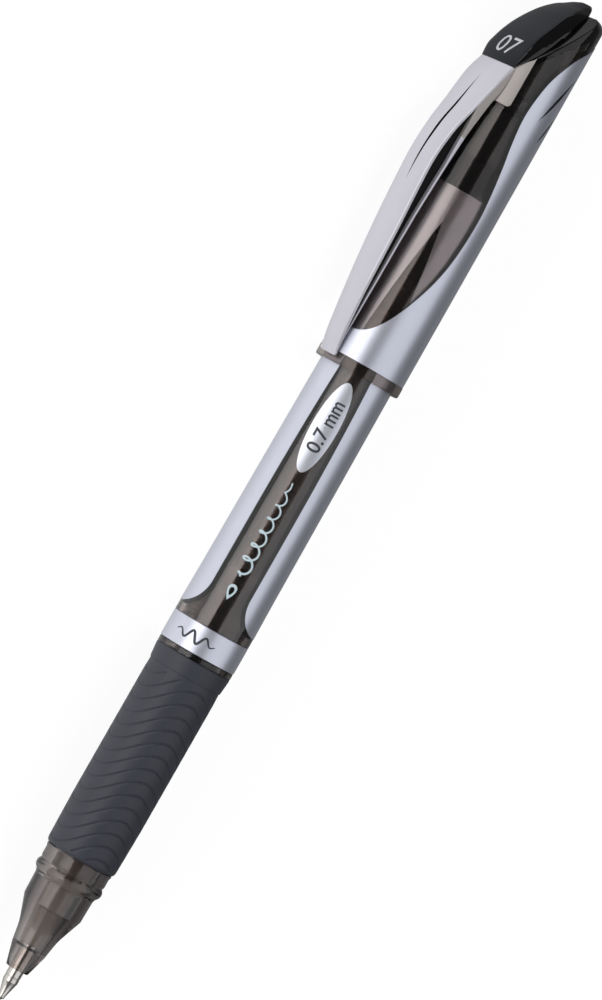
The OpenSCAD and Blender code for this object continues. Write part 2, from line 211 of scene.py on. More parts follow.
# Foil stamped on plastic under clear lacquer: an even satin silver with a blue cast
silver_foil = surface("stamped_silver_foil", "#dcdfec", 0.35, 0.12, 0.0012, 0.03, Metallic=0.8)
# Silver lacquer with fine flake, sprayed: a lighter and softer silver than the foil
silver_lacquer = surface("sprayed_silver_lacquer", "#d3d1da", 0.36, 0.1, 0.0014, 0.03,
    Metallic=0.55)
# Painted shade in the clip's engraved line and side grooves: a matt charcoal that stands in for
# their deep shade
groove_painted_shade = surface("charcoal_painted_groove_shade", "#0a0909", 0.5, 0.1, 0.002,
    Specular_IOR_Level=0.15)
# Painted shade: the same lacquer on the cheeks and the clip's lip, made duller and warmer for the
# shade there
cheek_painted_shade = surface("silver_lacquer_painted_shade", "#b4aeab", 0.5, 0.1, 0.0014, 0.03, Metallic=0.4)
# Moulded thermoplastic rubber: matt charcoal, with a fine spark-eroded grain
grip_rubber = surface("moulded_charcoal_rubber", "#3c3f48", 0.48, 0.14, 0.005, 0.08,
    Specular_IOR_Level=0.4)
# Polished black ABS: deep gloss
gloss_black = surface("polished_black_abs", "#0b0b0d", 0.07, 2, 0.0005)
# Black acrylic head, printed on a satin top
head_black = surface("satin_black_acrylic", "#161921", 0.32, 0.5, 0.0008, 0.1,
    Specular_IOR_Level=0.24)
# Nickel silver turned on a lathe: faintly warm, with fine turning marks
nickel_silver = surface("turned_nickel_silver", "#e0dcd6", 0.22, 0.05, 0.0008, Metallic=1.0)
# Sintered and lapped tungsten carbide: dark, smooth
carbide = surface("lapped_carbide", "#8d8f92", 0.12, 0.02, 0.0002, Metallic=1.0)
# Drawn stainless wire
spring_wire = surface("drawn_spring_wire", "#b9bbbd", 0.25, 0.03, 0.0005, Metallic=1.0)
# Natural polypropylene: milky and soft
milky_plastic = surface("natural_polypropylene", "#e9e6e0", 0.4, 0.4, 0.002,
    Subsurface_Weight=0.3, Subsurface_Radius=(0.002, 0.0018, 0.0016))
# Extruded polypropylene tube: clear with a slight haze
tube_clear = surface("extruded_clear_tube", "#ddd3cc", 0.12, 1.5, 0.0008, 0.02,
    Transmission_Weight=0.92, IOR=1.49)
# Gel ink behind the tube's wall
ink_black = surface("black_gel_ink", "#050506", 0.15, 0.6, 0.0005)
# Clear amber grease that follows the ink
grease_amber = surface("amber_grease", "#caa75a", 0.1, 0.8, 0.001, Transmission_Weight=0.7)
# Moulded tail plug and liner
tail_grey = surface("moulded_grey_tail", "#6d6e70", 0.45, 0.2, 0.002)
liner_black = surface("moulded_soft_liner", "#111113", 0.35, 0.25, 0.002)
# Inks printed by pad and screen: thin, matt and slightly raised
pale_blue_ink = surface("pale_blue_print", "#d3e6ee", 0.5, 0.08, 0.001)
charcoal_ink = surface("charcoal_print", "#3b3b45", 0.5, 0.08, 0.001)
pale_grey_ink = surface("pale_grey_print", "#c3c6cc", 0.5, 0.08, 0.001)
# White silver film of the oval label
label_silver = surface("label_silver", "#e6e9f3", 0.36, 0.1, 0.001, 0.02, Metallic=0.75)


# ---- Making meshes ----

SIDES = 160
print_dice = 0.3                 # letters are cut this fine, so that they follow a curved surface
print_height = 0.03


def joined(points):
    """Rows of points made into faces: each row is a list of vertices of the same length."""
    return zip(points, points[1:])


def finished(name, bm, finish, body=None, replaces=(), crease=32):
    """Turns a bmesh into a piece with its finish and the body that it rides on."""
    mesh = bpy.data.meshes.new(name)
    bm.to_mesh(mesh)
    bm.free()
    for material in finish if isinstance(finish, (list, tuple)) else [finish]:
        mesh.materials.append(material)
    mesh.shade_smooth()
    mesh.set_sharp_from_angle(angle=math.radians(crease))
    piece = bpy.data.objects.new(name, mesh)
    bpy.context.scene.collection.objects.link(piece)
    if body:
        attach(piece, body)
    if replaces:
        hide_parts(*replaces)
    return piece


def softened(outline, size, steps=3):
    """Rounds off the corners of a closed outline of (station, radius) by about size."""
    soft = []
    for i, point in enumerate(outline):
        corner = Vector(point)
        back = Vector(outline[i - 1]) - corner
        on = Vector(outline[(i + 1) % len(outline)]) - corner
        straight = back.length < 1e-6 or on.length < 1e-6 or back.angle(on) > math.radians(160)
        if corner.y < 1e-6 or straight:
            soft.append(corner)
            continue
        cut = min(size, 0.4 * back.length, 0.4 * on.length)
        start = corner + back.normalized() * cut
        end = corner + on.normalized() * cut
        for k in range(steps + 1):
            t = k / steps
            soft.append(start * (1 - t) ** 2 + corner * 2 * t * (1 - t) + end * t * t)
    return soft


def smooth(points, steps=4):
    """A Catmull-Rom curve through points."""
    curve = []
    last = len(points) - 1
    for i in range(last):
        a, b, c, d = (Vector(points[max(0, min(last, i + k))]) for k in (-1, 0, 1, 2))
        for s in range(steps):
            t = s / steps
            curve.append(0.5 * (2 * b + (c - a) * t + (2 * a - 5 * b + 4 * c - d) * t * t
                + (3 * b - 3 * c + d - a) * t ** 3))
    return curve + [Vector(points[last])]


def along(points, x):
    """The value at x on a chain of (x, value) points."""
    if x <= points[0][0]:
        return points[0][1]
    for (x0, y0), (x1, y1) in zip(points, points[1:]):
        if x <= x1:
            return y0 + (y1 - y0) * (x - x0) / (x1 - x0)
    return points[-1][1]


def arc(centre, radius, start, end, steps):
    """Points on an arc, in degrees."""
    turns = [math.radians(start + (end - start) * k / steps) for k in range(steps + 1)]
    return [(centre[0] + radius * math.cos(a), centre[1] + radius * math.sin(a)) for a in turns]


def lathe(outline, sides=SIDES, swell=None, closed=True):
    """A turned shape from (station, radius) points; swell moves a point of it in or out."""
    bm = bmesh.new()
    rings = []
    for station, radius in outline:
        if radius < 1e-6:
            rings.append([bm.verts.new(place(station, 0, 0))])
            continue
        turns = [360 * k / sides for k in range(sides)]
        rings.append([bm.verts.new(around(station,
            radius + (swell(station, radius, turn) if swell else 0), turn)) for turn in turns])
    pairs = list(joined(rings))
    if closed:
        pairs.append((rings[-1], rings[0]))
    for a, b in pairs:
        for k in range(sides):
            n = (k + 1) % sides
            if len(a) > 1 and len(b) > 1:
                bm.faces.new((a[k], a[n], b[n], b[k]))
            elif len(b) > 1:
                bm.faces.new((a[0], b[n], b[k]))
            elif len(a) > 1:
                bm.faces.new((a[k], a[n], b[0]))
    bmesh.ops.recalc_face_normals(bm, faces=bm.faces)
    return bm


def skin(rows, surface_at, lift, close_rows=False):
    """A thin solid laid on a surface: rows of (u, v) points, all of one length.

    surface_at(u, v, lift) gives the point that stands lift above the surface.
    """
    bm = bmesh.new()
    top = [[bm.verts.new(surface_at(u, v, lift)) for u, v in row] for row in rows]
    bottom = [[bm.verts.new(surface_at(u, v, 0)) for u, v in row] for row in rows]
    last = len(rows[0]) - 1
    for layer in (top, bottom):
        for a, b in joined(layer):
            for k in range(last):
                bm.faces.new((a[k], a[k + 1], b[k + 1], b[k]))
    for a, b in joined(list(zip(top, bottom))):
        for k in () if close_rows else (0, last):
            bm.faces.new((a[0][k], b[0][k], b[1][k], a[1][k]))
    for up, down in ((top[0], bottom[0]), (top[-1], bottom[-1])):
        for k in range(last):
            bm.faces.new((up[k], up[k + 1], down[k + 1], down[k]))
    bmesh.ops.remove_doubles(bm, verts=bm.verts, dist=1e-6)
    loose = [f for f in bm.faces if f.calc_area() < 1e-14]
    bmesh.ops.delete(bm, geom=loose, context="FACES_ONLY")
    bmesh.ops.recalc_face_normals(bm, faces=bm.faces)
    return bm


def printed(name, text, height, width, at, surface_at, ink, body, bold=0.0):
    """Numerals or letters of the built-in face, pressed onto a surface; at is their lower left."""
    curve = bpy.data.curves.new(name, "FONT")
    curve.body = text
    curve.offset = bold
    curve.resolution_u = 5
    words = bpy.data.objects.new(name + "_text", curve)
    bpy.context.scene.collection.objects.link(words)
    bpy.context.view_layer.update()
    mesh = bpy.data.meshes.new_from_object(words)
    bpy.data.objects.remove(words)
    bm = bmesh.new()
    bm.from_mesh(mesh)
    bpy.data.meshes.remove(mesh)
    low = [min(v.co[i] for v in bm.verts) for i in (0, 1)]
    high = [max(v.co[i] for v in bm.verts) for i in (0, 1)]
    scale = [width / (high[0] - low[0]), height / (high[1] - low[1])]
    for v in bm.verts:
        v.co = [at[i] + (v.co[i] - low[i]) * scale[i] for i in (0, 1)] + [0]
    for axis, length in ((0, width), (1, height)):
        for k in range(1, int(length / print_dice)):
            cut = Vector((0, 0, 0))
            cut[axis] = at[axis] + k * print_dice
            across = Vector((0, 0, 0))
            across[axis] = 1
            bmesh.ops.bisect_plane(bm, geom=bm.verts[:] + bm.edges[:] + bm.faces[:],
                plane_co=cut, plane_no=across)
    upper = bm.faces[:]
    lower = bmesh.ops.duplicate(bm, geom=upper)
    below = {old: new for old, new in lower["vert_map"].items()
        if isinstance(old, bmesh.types.BMVert)}
    rim = [tuple(e.verts) for f in upper for e in f.edges if len(e.link_faces) == 1]
    for one, two in rim:
        if one in below and two in below:
            bm.faces.new((one, two, below[two], below[one]))
    for v in {v for f in upper for v in f.verts}:
        x, y = v.co.x, v.co.y
        below[v].co = surface_at(x, y, 0)
        v.co = surface_at(x, y, print_height)
    bmesh.ops.recalc_face_normals(bm, faces=bm.faces)
    return finished(name, bm, ink, body)


def ribbon(points, widths):
    """Rows of a line drawn on a surface: points along it, and its width at each."""
    rows = []
    for i, point in enumerate(points):
        before = points[max(0, i - 1)]
        after = points[min(len(points) - 1, i + 1)]
        way = Vector((after[0] - before[0], after[1] - before[1])).normalized()
        across = Vector((-way.y, way.x)) * widths[i] / 2
        rows.append([(point[0] - across.x, point[1] - across.y),
            (point[0] + across.x, point[1] + across.y)])
    return rows


# ---- Refill ----

nose_z = 4.6
holder_z = 8.4
shoulder_z = 17.4
tube_z = 18.6
point_r = 1.075
holder_r = 1.58
tube_r = 3.0
tube_in_r = 2.3


def make_metal_point():
    """Turned point: a cone with a crimped lip, a fine groove and a bore behind the ball."""
    outline = [(0.42, 0.36), (0.24, 0.36), (0.22, 0.42), (0.3, 0.46), (0.62, 0.5), (2.55, 0.99),
        (2.75, point_r), (3.35, point_r), (3.4, point_r - 0.05), (3.5, point_r - 0.05),
        (3.55, point_r), (8.1, point_r), (12.5, point_r), (12.5, 0.62), (1.7, 0.62), (1.7, 0.25),
        (0.7, 0.25)]
    finished("turned_point", lathe(softened(outline, 0.04), 96), nickel_silver,
        "refill", ["metal_point"])


def make_point_holder():
    """Holder between the point and the tube, with the refill's shoulder."""
    outline = [(holder_z, point_r), (holder_z, holder_r - 0.2), (holder_z + 0.2, holder_r),
        (14.1, holder_r), (14.1, holder_r + 0.35), (shoulder_z, holder_r + 0.35),
        (shoulder_z, tube_r), (tube_z, tube_r), (tube_z, tube_in_r), (24, tube_in_r),
        (24, 0.7), (12.5, 0.7), (12.5, point_r)]
    finished("moulded_point_holder", lathe(softened(outline, 0.1), 96), milky_plastic,
        "refill", ["point_holder"])


def make_ink():
    """The column of ink, a hair wider than the bore so that it wets the tube's wall."""
    outline = [(24.05, 0), (24.05, tube_in_r + 0.03), (98.95, tube_in_r + 0.03), (98.95, 0)]
    finished("ink_column", lathe(softened(outline, 0.1), 64), ink_black, "refill",
        ["gel_ink"])


# ---- Front section ----

grip_z = 21.7
collar_z = 52.3
joint_z = 53.1
spigot_end_z = 66.3
core_r = 4.4
grip_r = 5.3
collar_r = 5.55
spigot_r = 4.65
thread_lead = 1.6
thread_starts = 2
thread_depth = 0.25
thread_ring = 0.1                # spacing of the rings that draw the thread


def screw_thread(station, radius, turn):
    """Two helical ridges on the spigot."""
    start, end = joint_z + 0.8, spigot_end_z - 0.8
    if radius < spigot_r - 0.05 or not start < station < end:
        return 0
    phase = thread_starts * (station / thread_lead - turn / 360) % 1
    run_out = min(1, (station - start) / 0.6, (end - station) / 0.6)
    return -thread_depth * run_out * (0.5 - 0.5 * math.cos(2 * math.pi * phase)) ** 0.6


def make_nose():
    """Nose, core under the grip, collar and threaded spigot: one clear moulding."""
    cone = smooth([(7.7, 2.5), (9, 2.71), (10.4, 2.97), (11.7, 3.4), (12.9, 3.83), (14.2, 4.3)], 6)
    bead = [(z, r) for r, z in arc((3.96, 18.68), 1, -52, 48, 14)]
    rings = round((spigot_end_z - joint_z - 1.1) / thread_ring)
    thread = [(joint_z + 0.6 + thread_ring * k, spigot_r) for k in range(rings)]
    outline = [(nose_z, 1.225), (nose_z, 1.6), (nose_z + 0.06, 1.66)] + [tuple(p) for p in cone]
    outline += [(17.4, 4.38)] + bead + [(19.8, 4.77), (21, 4.77), (21.35, 4.89), (21.6, 4.89),
        (21.6, core_r), (collar_z, core_r), (collar_z, collar_r), (joint_z, collar_r),
        (joint_z, spigot_r)] + thread + [(spigot_end_z - 0.4, spigot_r),
        (spigot_end_z, spigot_r - 0.3), (spigot_end_z, 3.15), (shoulder_z - 0.05, 3.15),
        (shoulder_z - 0.05, 2.35), (14.1, 2.25), (holder_z - 0.2, 1.73), (holder_z - 0.6, 1.225)]
    finished("smoke_nose", lathe(softened(outline, 0.08), SIDES, screw_thread), dark_smoke,
        "front", ["nose_section"])


wave_pitch = 1.97
wave_middle = 26.7
wave_height = 2.3
wave_turn = 83
groove_width = 0.2
groove_depth = 0.13
waves_start = 22.3
waves_end = 49.2


def grip_grooves(station, radius, turn):
    """Fine engraved lines that rise and fall twice round the grip."""
    if radius < core_r + 0.3 or not waves_start < station < waves_end:
        return 0
    shift = wave_middle + wave_height * math.cos(2 * math.radians(turn - wave_turn))
    away = ((station - shift) / wave_pitch + 0.5) % 1 - 0.5
    return -groove_depth * math.exp(-(away * wave_pitch / groove_width * 1.6) ** 2)


def make_grip():
    """Rubber sleeve: rounded front edge, waisted behind the nose, a small step before the flare."""
    side = [(grip_z, grip_r - 0.5), (grip_z + 0.06, grip_r - 0.33), (grip_z + 0.25, grip_r - 0.2),
        (grip_z + 0.6, grip_r - 0.13), (grip_z + 2, grip_r - 0.1), (grip_z + 7, grip_r),
        (grip_z + 26.4, grip_r), (grip_z + 28.1, grip_r - 0.06), (49.86, grip_r - 0.05),
        (49.92, grip_r + 0.05), (50.4, grip_r + 0.1), (51.4, grip_r + 0.2),
        (52.1, grip_r + 0.25), (collar_z - 0.05, grip_r + 0.2), (collar_z - 0.02, grip_r + 0.1)]
    rows = 360
    start, end = grip_z + 0.6, 49.7
    fine = [start + (end - start) * k / rows for k in range(rows + 1)]
    outer = [p for p in side if p[0] < start] + [(z, along(side, z)) for z in fine]
    outer += [p for p in side if p[0] > end]
    outline = [(grip_z, core_r + 0.01)] + outer + [(collar_z - 0.02, core_r + 0.01)]
    finished("rubber_sleeve", lathe(outline, 224, grip_grooves), grip_rubber,
        "front", ["rubber_grip"])


# ---- Barrel ----

band_end_z = 57.1
barrel_end_z = 124.3
plug_end_z = 136.7
band_r = 5.6
band_seat_r = 5.3
rear_r = 5.15
plug_r = 4.82
window_turn = 48
window_half = 2.85
window_front_z = 58.3
window_full_z = 62.9
window_end_z = 119.3
foil_t = 0.04
barrel_side = [(band_end_z, band_r), (joint_z + 11, band_r - 0.1), (joint_z + 42, 5.295),
    (barrel_end_z, rear_r)]


def on_barrel(station, turn, lift):
    """A place on the barrel, or lift above it."""
    return around(station, along(barrel_side, station) + lift, turn)


def on_window(x, y, lift):
    """A place on the window's middle line, x along the pen and y up towards the clip."""
    radius = along(barrel_side, x)
    return around(x, radius + lift, window_turn - math.degrees(y / radius))


def make_barrel():
    """Clear tapered tube, with a seat for the band at its front."""
    outline = [(joint_z + 0.05, 4.7), (joint_z + 0.05, band_seat_r), (band_end_z, band_seat_r)]
    outline += barrel_side + [(barrel_end_z, 4.1), (barrel_end_z - 6, 4.1),
        (spigot_end_z + 1, 4.45), (spigot_end_z + 0.3, 4.7)]
    finished("smoke_barrel", lathe(softened(outline, 0.12)), lacquered_smoke,
        "barrel", ["barrel_tube"])


def make_band():
    """Silver ring on the barrel's front seat."""
    outline = [(joint_z + 0.05, band_seat_r), (joint_z + 0.05, band_r), (band_end_z, band_r),
        (band_end_z, band_seat_r)]
    finished("silver_ring", lathe(softened(outline, 0.15)), silver_foil, "barrel",
        ["silver_band"])


def make_band_wave():
    """A drawn wave round the front band."""
    length, middle, turn = 6.2, joint_z + 2.05, 36
    count = 72
    line = []
    for k in range(count + 1):
        t = k / count
        swing = math.sin(math.pi * t) ** 0.7
        line.append((middle + 0.75 * swing * math.sin(6 * math.pi * t), (t - 0.5) * length))
    widths = [0.12 + 0.24 * math.sin(math.pi * k / count) for k in range(count + 1)]
    finished("band_wave", skin(ribbon(line, widths), lambda x, y, lift:
        around(x, band_r + 0.004 + lift, turn + math.degrees(y / band_r)), 0.02), charcoal_ink,
        "barrel")


def make_barrel_foil():
    """Two silver panels that leave a long pointed window on each side and meet behind it."""
    shoulder = []
    for k in range(13):
        sine = (band_r + 1 - along(barrel_side, window_front_z)) / (band_r + 1 - window_half)
        first = math.asin(sine)
        a = first + (math.pi / 2 - first) * k / 12
        shoulder.append((window_full_z - (window_full_z - window_front_z) * math.cos(a),
            band_r + 1 - (band_r + 1 - window_half) * math.sin(a)))
    point = [(window_full_z + (window_end_z - window_full_z) * k / 40,
        window_half * (1 - (k / 40) ** 3.4)) for k in range(1, 41)]
    tail = [(barrel_end_z - 0.15, 0)]
    columns = 48
    for number, side in enumerate((window_turn, window_turn + 180)):
        rows = []
        for station, half in shoulder + point + tail:
            opened = math.degrees(math.asin(min(1, half / along(barrel_side, station))))
            rows.append([(station, side + opened + (180 - 2 * opened) * k / columns)
                for k in range(columns + 1)])
        finished(f"barrel_foil_{number + 1}", skin(rows, on_barrel, foil_t), silver_foil,
            "barrel", ["barrel_film"])


label_z = 87.8
label_len = 13.5
label_w = 3.64
label_t = 0.05


def on_label(x, y, lift):
    """A place on the label, just sunk into it so that the ink doesn't float."""
    return on_window(x, y, lift + label_t - 0.005)


def make_label():
    """Oval silver label in the window."""
    rings, spokes = 6, 72
    rows = []
    for i in range(rings + 1):
        reach = max(0.02, i / rings)
        rows.append([(label_z + label_len / 2 * reach * math.cos(2 * math.pi * k / spokes),
            label_w / 2 * reach * math.sin(2 * math.pi * k / spokes)) for k in range(spokes + 1)])
    finished("oval_label", skin(rows, on_window, label_t, close_rows=True), label_silver,
        "barrel", ["size_label"])


def make_window_print():
    """A drop of ink and a line that leaves it in loops and runs out straight."""
    drop = []
    for k in range(41):
        a = 2 * math.pi * k / 40
        drop.append((62.7 - 1.15 * math.cos(a), 0.85 * math.sin(a) * math.sin(a / 2) ** 1.2))
    rows = [[(62.9 + (x - 62.9) * s, y * s) for x, y in drop] for s in (0.55, 0.75, 1)]
    finished("drop_print", skin(rows, on_window, 0.02, close_rows=True), pale_blue_ink,
        "barrel")
    line, widths = [], []
    turns, count = 7, 280
    for k in range(count + 1):
        t = k / count
        swing = 0.95 * (1 - 0.55 * t) * min(1, 12 * t) * min(1, 5 * (1 - t))
        a = 2 * math.pi * turns * t
        line.append((65.1 + 14.2 * t + 0.75 * swing * math.cos(a), swing * math.sin(a)))
        widths.append(0.3 - 0.1 * t)
    finished("looped_print", skin(ribbon(line, widths), on_window, 0.02), pale_blue_ink,
        "barrel")


def make_end_plug():
    """Black plug with a rounded end and a fine groove, hollow towards the barrel."""
    nose = [(z, r) for r, z in arc((plug_r - 1.1, plug_end_z - 1.1), 1.1, 0, 90, 10)]
    outline = [(plug_end_z - 1.5, 0), (plug_end_z - 1.5, 3.2), (barrel_end_z - 6, 3.2),
        (barrel_end_z - 6, 4.08), (barrel_end_z, 4.08), (barrel_end_z, plug_r)]
    outline += [(barrel_end_z + 2.6, plug_r), (barrel_end_z + 2.65, plug_r - 0.06)]
    outline += [(barrel_end_z + 2.8, plug_r - 0.06), (barrel_end_z + 2.85, plug_r)]
    outline += nose + [(plug_end_z, 0)]
    finished("black_end_plug", lathe(softened(outline, 0.08)), gloss_black,
        "barrel", ["end_plug"])


# ---- Cap ----

cap_z = 96.0
cap_end_z = 153.1
rim_r = 6.3
rim_len = 1.55
slope_z = 141.0
slope_h = 6.2
slope_fall = 2 / 3
slope_wall = 1.2
liner_z = 137.2
mask_z = 144.5                   # the black mask starts here, at this height, and falls 1 in 1
mask_h = 3.67
mask_round_z = 150.2             # beyond this it goes all the way round
cap_side = [(97.55, 6.18), (118, 6.12), (135, 6.05), (mask_z, 6.0), (149, 5.98)]


def slope(station):
    """Height of the sloping end."""
    return slope_h - slope_fall * (station - slope_z)


def is_masked(middle):
    """Whether the black mask on the cap's end covers this point."""
    station = (tip_x - middle.x) / MM
    height = (axis_y - middle.y) / MM
    return station > mask_z and (station > mask_round_z or height > mask_h - (station - mask_z))


def cut_by_slope(bm, drop):
    """Takes away what lies beyond the sloping end, lowered by drop, and closes the cut."""
    start, end = place(slope_z, slope_h - drop, 0), place(slope_z + 9, slope(slope_z + 9) - drop, 0)
    outward = (end - start).cross(Vector((0, 0, 1))).normalized()
    if outward.y > 0:
        outward.negate()
    cut = bmesh.ops.bisect_plane(bm, geom=bm.verts[:] + bm.edges[:] + bm.faces[:], dist=1e-8,
        plane_co=start, plane_no=outward, clear_outer=True)
    edges = [e for e in cut["geom_cut"] if isinstance(e, bmesh.types.BMEdge)]
    bmesh.ops.contextual_create(bm, geom=edges)
    return [e for e in edges if e.is_valid]


def make_cap():
    """Clear smoke cap, cut off on a slope at its closed end, with a stepped rim."""
    corner = [(z, r) for r, z in arc((4.48, cap_end_z - 1.5), 1.5, 0, 90, 12)]
    rim = softened([(cap_z, 5.45), (cap_z, rim_r), (cap_z + rim_len, rim_r),
        (cap_z + rim_len, 6.18)], 0.3)[3:]
    outside = lathe([(cap_z, 5.45)] + [tuple(p) for p in rim if p.y > 5.6] + cap_side + corner
        + [(cap_end_z, 0)], closed=False)
    edges = cut_by_slope(outside, 0)
    bmesh.ops.bevel(outside, geom=edges, offset=0.22 * MM, segments=3, affect="EDGES", profile=0.5)
    bmesh.ops.bisect_plane(outside, geom=outside.verts[:] + outside.edges[:] + outside.faces[:],
        plane_co=place(mask_z, mask_h, 0), plane_no=Vector((1, 1, 0)), dist=1e-8)
    hollow = [(cap_z, 5.45), (128.2, 5.27), (128.7, 5.02), (129.05, 4.92), (129.35, 4.92),
        (129.9, 5.1), (liner_z, 5.1), (liner_z + 0.05, 5.0), (cap_end_z - 2.2, 5.0),
        (cap_end_z - 1.4, 4.2), (cap_end_z - 1.4, 0)]
    inside = lathe(hollow, closed=False)
    cut_by_slope(inside, slope_wall / math.cos(math.atan(slope_fall)))
    both = bmesh.new()
    for part in (outside, inside):
        mesh = bpy.data.meshes.new("cap_part")
        part.to_mesh(mesh)
        part.free()
        both.from_mesh(mesh)
        bpy.data.meshes.remove(mesh)
    bmesh.ops.remove_doubles(both, verts=both.verts, dist=1e-7)
    bmesh.ops.recalc_face_normals(both, faces=both.faces)
    for face in both.faces:
        face.material_index = 1 if is_masked(face.calc_center_median()) else 0
    finished("smoke_cap", both, [smoke_plastic, gloss_black], "cap",
        ["cap_tube"], crease=28)


foil_edge = [(100.9, 6.6), (101.6, 5.4), (103.8, 4.1), (107.4, 2.65), (111.8, 1.17), (116, 0.3),
    (121.4, -0.05), (125.4, 0.27), (129.6, 0.86), (132.6, 1.38), (137, 1.75), (142, 1.1),
    (145.4, -0.3), (147.6, -1.9), (149.9, -4.8), (150.6, -6.8)]
slits = [((137.2, -0.4), (145, -3.6), 0.28), ((134.6, -2.4), (139, -4), 0.22)]


def on_cap(station, turn, lift):
    """A place on the cap, or lift above it."""
    return around(station, along(cap_side, station) + lift, turn)


def slit_cutter(start, end, bulge):
    """A lens of two arcs, seen from the side, drawn right across the cap."""
    start, end = Vector(start), Vector(end)
    way = end - start
    across = Vector((-way.y, way.x)).normalized() * bulge
    steps = 12
    upper = [start + way * k / steps + across * math.sin(math.pi * k / steps)
        for k in range(steps + 1)]
    lower = [start + way * k / steps - across * math.sin(math.pi * k / steps)
        for k in range(steps - 1, 0, -1)]
    bm = bmesh.new()
    loops = [[bm.verts.new(place(p.x, p.y, side)) for p in upper + lower] for side in (-9, 9)]
    for a, b in joined(loops):
        for k in range(len(a)):
            n = (k + 1) % len(a)
            bm.faces.new((a[k], a[n], b[n], b[k]))
    for loop in loops:
        bm.faces.new(loop)
    bmesh.ops.recalc_face_normals(bm, faces=bm.faces)
    mesh = bpy.data.meshes.new("slit")
    bm.to_mesh(mesh)
    bm.free()
    cutter = bpy.data.objects.new("slit", mesh)
    bpy.context.scene.collection.objects.link(cutter)
    return cutter


def make_cap_foil():
    """Silver skin with a long curved edge round the clear window, and two slits on each side."""
    edge = smooth(foil_edge, 6)
    stations = [(cap_z + rim_len + 0.02, 7), (100.7, 7)] + [tuple(p) for p in edge]
    columns = 120
    rows = []
    for station, height in stations:
        share = max(-1, min(1, height / along(cap_side, station)))
        opened = math.degrees(math.acos(share))
        rows.append([(station, opened + (360 - 2 * opened) * k / columns)
            for k in range(columns + 1)])
        if opened > 179.5:
            break
    piece = finished("cap_foil", skin(rows, on_cap, 0.07), silver_foil, "cap",
        ["cap_film"])
    for cut in slits:
        cutter = slit_cutter(*cut)
        take = piece.modifiers.new("slit", "BOOLEAN")
        take.operation = "DIFFERENCE"
        take.solver = "EXACT"
        take.object = cutter
        bpy.context.view_layer.update()
        graph = bpy.context.evaluated_depsgraph_get()
        mesh = bpy.data.meshes.new_from_object(piece.evaluated_get(graph))
        piece.modifiers.clear()
        piece.data = mesh
        bpy.data.objects.remove(cutter)


# ---- Clip ----

clip_rows = [(97.0, 6.36, 1.79), (99.6, 7.03, 1.87), (105, 7.75, 2.1), (109.5, 8.2, 2.35),
    (115.3, 8.66, 2.6), (121, 9.08, 2.66), (126, 9.3, 2.72), (130.5, 8.85, 2.9), (134, 8.0, 3.2),
    (138.7, 6.9, 3.65), (141.6, 5.84, 3.6)]
clip_under = [(97, 6.3), (99.6, 6.5), (105, 6.6), (114, 6.9), (118, 6.9), (130.5, 6.35),
    (135.7, 5.9), (138, 5.5), (141.6, 5.25)]
clip_lip = [(97, 0.1), (105, 0.34), (126, 0.46), (131, 0.85), (134, 1.45), (138, 1.9), (142, 2)]
lip_shade_z = 130                # the lip gets the cheeks' painted shade beyond this
clip_groove = [(121.7, 0), (125, 0.13), (130, 0.24), (134, 0.2), (139, 0)]
clip_crown = 0.35
clip_chamfer = 0.3
clip_front_z = 97.0
clip_back_z = 141.6
clip_rings = 110
shaded_steps = (0, 11, 12)       # steps of the section that are the engraved line and the side groove, which get painted shade


def clip_section(station, corner_h, half):
    """Half of the clip's cross-section, from the middle of its top round to the underside."""
    under = along(clip_under, station)
    deep = corner_h - under
    chamfer = min(clip_chamfer, 0.45 * deep)
    lip = min(along(clip_lip, station), deep - chamfer)
    inset = min(0.55, 0.6 * (deep - chamfer - lip))
    groove = along(clip_groove, station)

    def top(side):
        return corner_h + clip_crown * (1 - (side / half) ** 2)

    points = [(0, top(0) - 1.1 * groove), (groove, top(groove)), (groove + 0.06, top(groove + 0.06))]
    points += [(half * s, top(half * s)) for s in (0.3, 0.5, 0.68, 0.83)]
    points += [(half - 0.2, top(half - 0.2)), (half - 0.14, corner_h + 0.01),
        (half - 0.02, corner_h - 0.12), (half, corner_h - 0.17), (half, corner_h - chamfer)]
    points += [(half - inset, corner_h - chamfer - 0.02 * (inset > 0.02)),
        (half - inset, under + lip), (half - 0.02, under + lip - 0.03), (half, under + lip - 0.08),
        (half, under + 0.1), (half - 0.12, under), (0.5 * half, under), (0, under)]
    return points


